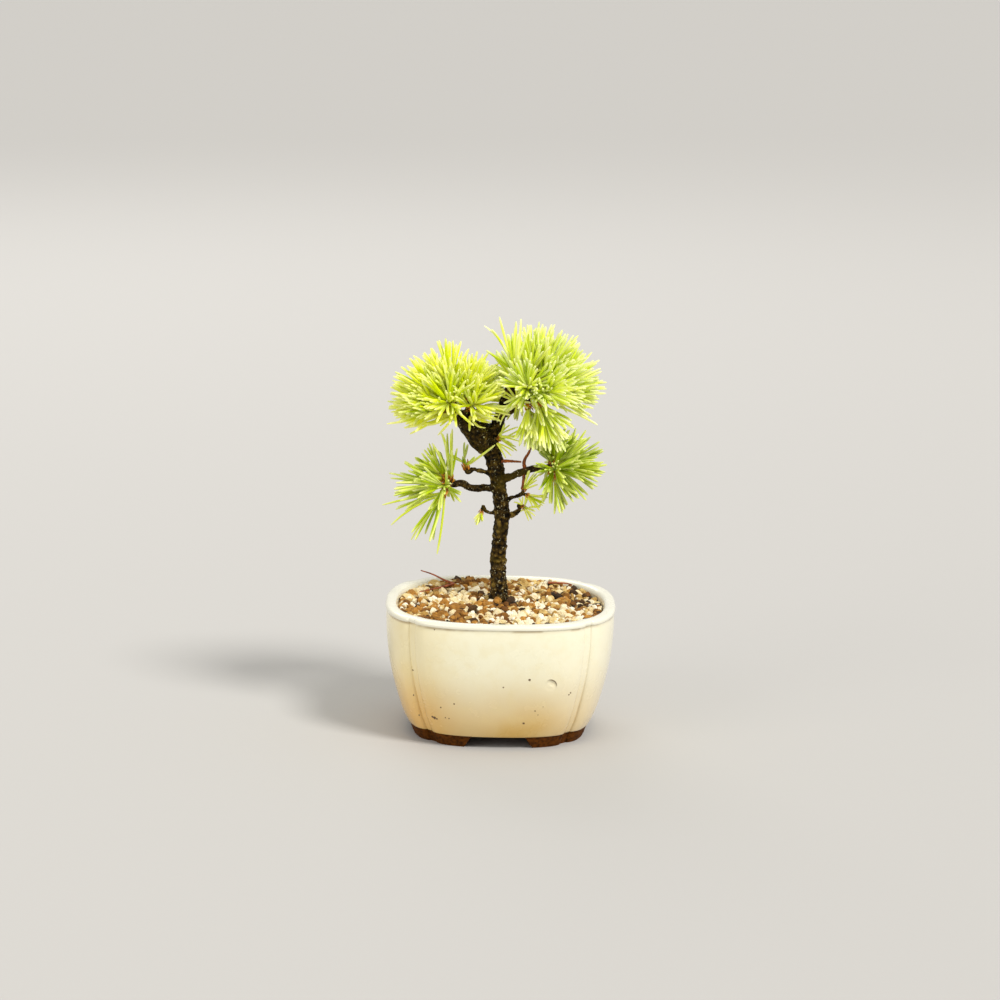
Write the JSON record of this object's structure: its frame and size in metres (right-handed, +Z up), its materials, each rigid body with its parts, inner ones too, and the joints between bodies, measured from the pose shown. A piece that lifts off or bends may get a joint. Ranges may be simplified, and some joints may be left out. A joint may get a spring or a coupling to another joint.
{
  "type": "japanese white pine bonsai in a pot",
  "caption": "Small white pine with a short rough trunk and domed heads of needles, in a cream glazed four-lobed pot on corner feet.",
  "frame": {"origin": "on the ground under the middle of the pot", "axes": "+X to the right in the picture, +Y away from the viewer, +Z up"},
  "size_m": [0.104, 0.104, 0.1885],
  "materials": {
    "cream_glaze": "glossy cream glaze, bare brown clay on the feet",
    "screen_plastic": "matte",
    "pumice_and_clay": "white pumice with orange brown baked clay grains",
    "dry_needles": "dry reddish brown",
    "bark": "rough dark brown bark with moss and pale lichen",
    "needles_yellow_green": "living needles, satin",
    "needles_pale_green": "living needles, satin",
    "needles_green": "living needles, satin"
  },
  "bodies": {
    "root": {"pot": "cream_glaze", "drainage_mesh": "screen_plastic", "soil": "pumice_and_clay", "fallen_needles_1": "dry_needles", "fallen_needles_2": "dry_needles", "tree": "bark", "needles_upperLeft_1": "needles_yellow_green", "needles_upperLeft_2": "needles_yellow_green", "needles_upperLeft_3": "needles_yellow_green", "needles_upperLeft_4": "needles_yellow_green", "needles_upperLeft_5": "needles_yellow_green", "needles_upperLeft_6": "needles_yellow_green", "needles_upperLeft_7": "needles_yellow_green", "needles_upperLeft_8": "needles_yellow_green", "needles_upperLeft_9": "needles_yellow_green", "needles_upperLeft_10": "needles_yellow_green", "needles_upperRight_1": "needles_pale_green", "needles_upperRight_2": "needles_pale_green", "needles_upperRight_3": "needles_pale_green", "needles_upperRight_4": "needles_pale_green", "needles_upperRight_5": "needles_pale_green", "needles_upperRight_6": "needles_pale_green", "needles_upperRight_7": "needles_pale_green", "needles_upperRight_8": "needles_pale_green", "needles_upperRight_9": "needles_pale_green", "needles_upperRight_10": "needles_pale_green", "needles_upperRight_11": "needles_pale_green", "needles_upperRight_12": "needles_pale_green", "needles_upperRight_13": "needles_pale_green", "needles_lowerLeft_1": "needles_green", "needles_lowerLeft_2": "needles_green", "needles_lowerLeft_3": "needles_green", "needles_lowerLeft_4": "needles_green", "needles_lowerLeft_5": "needles_green", "needles_lowerLeft_6": "needles_green", "needles_lowerLeft_7": "needles_green", "needles_lowerRight_1": "needles_green", "needles_lowerRight_2": "needles_green", "needles_lowerRight_3": "needles_green", "needles_lowerRight_4": "needles_green", "needles_lowerRight_5": "needles_green", "needles_shoots_1": "needles_yellow_green", "needles_shoots_2": "needles_yellow_green", "needles_shoots_3": "needles_yellow_green", "needles_shoots_4": "needles_yellow_green", "needles_shoots_5": "needles_yellow_green"}
  },
  "joints": []
}
